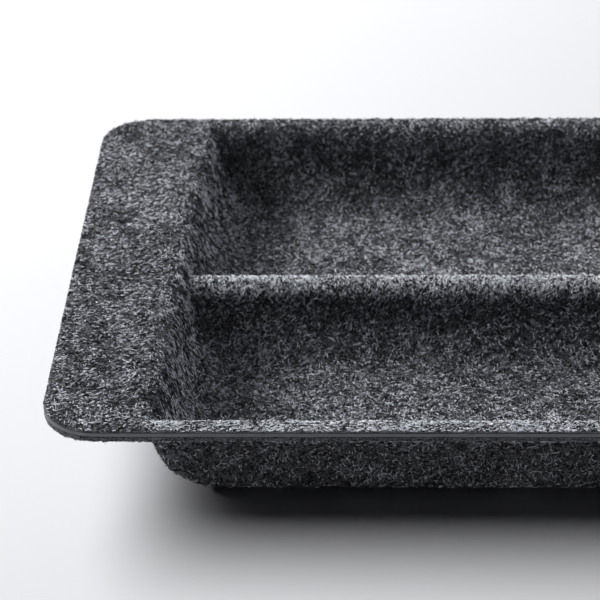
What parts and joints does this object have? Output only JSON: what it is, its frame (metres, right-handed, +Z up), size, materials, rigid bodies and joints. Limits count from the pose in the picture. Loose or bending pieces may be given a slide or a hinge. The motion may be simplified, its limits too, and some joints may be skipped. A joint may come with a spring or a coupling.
{
  "type": "divided felt tray",
  "caption": "Rectangular moulded-felt organiser tray with wide end flanges, a soft-cornered tub and a low rounded ridge that divides it lengthwise.",
  "frame": {"origin": "middle of the footprint, on the plane the tray rests on", "axes": "+Z up out of the compartments, +X along the divider, -Y towards the near compartment"},
  "size_m": [0.4, 0.3, 0.042],
  "materials": {
    "upper_felt": "fuzzy heathered charcoal needle felt with pale and near-black fibres",
    "stiffener": "dense pressed fibre, smooth and dull where it is cut",
    "lower_felt": "darker needle felt with sparse pale hairs"
  },
  "bodies": {
    "root": {"upper_felt_skin": "upper_felt", "stiffener_core": "stiffener", "lower_felt_skin": "lower_felt"}
  },
  "joints": []
}
